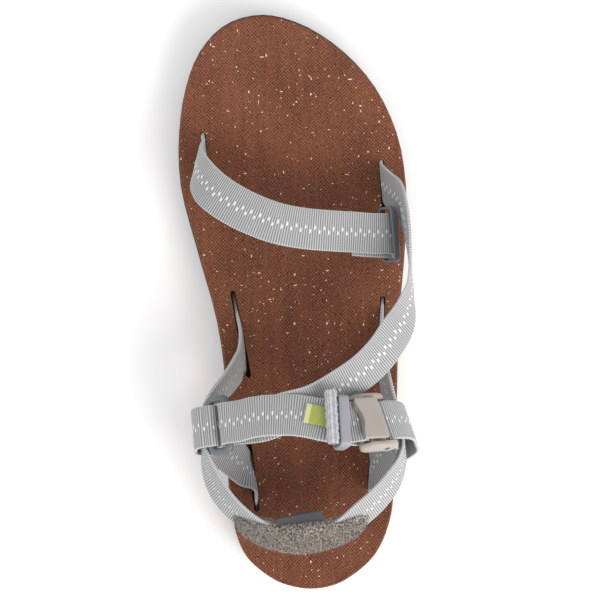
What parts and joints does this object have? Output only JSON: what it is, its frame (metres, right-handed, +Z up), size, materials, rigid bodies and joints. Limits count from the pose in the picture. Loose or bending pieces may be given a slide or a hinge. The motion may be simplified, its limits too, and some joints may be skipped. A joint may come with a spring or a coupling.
{
  "type": "outdoor sandal",
  "caption": "Right outdoor sandal with a contoured brown footbed, dark lugged outsole, grey webbing straps threaded through slits, dark rings, a lever buckle and a fleece heel pad.",
  "frame": {"origin": "on the floor, at the middle of the flat part of the heel's underside", "axes": "+Z up, +Y from heel to toe, +X to the outer side of the foot"},
  "size_m": [0.1151, 0.2758, 0.088],
  "materials": {
    "outsole_rubber": "matte",
    "footbed_foam": "matte, embossed",
    "webbing": "ribbed weave",
    "ring_plastic": "satin",
    "adjuster_plastic": "satin",
    "buckle_plastic": "satin",
    "label_fabric": "matte",
    "pad_fleece": "fuzzy",
    "tab_fabric": "matte"
  },
  "bodies": {
    "root": {"outsole": "outsole_rubber", "footbed": "footbed_foam", "toe_strap": "webbing", "toe_strap_tail": "webbing", "toe_ring": "ring_plastic", "instep_strap": "webbing", "strap_end_hem": "webbing", "side_tab": "label_fabric", "ankle_ring": "ring_plastic", "heel_strap": "webbing", "medial_rear_strap": "webbing", "lateral_rear_strap": "webbing", "strap_adjuster": "adjuster_plastic", "buckle_base": "buckle_plastic", "buckle_lever": "buckle_plastic", "heel_pad": "pad_fleece", "heel_tab": "tab_fabric"}
  },
  "joints": []
}
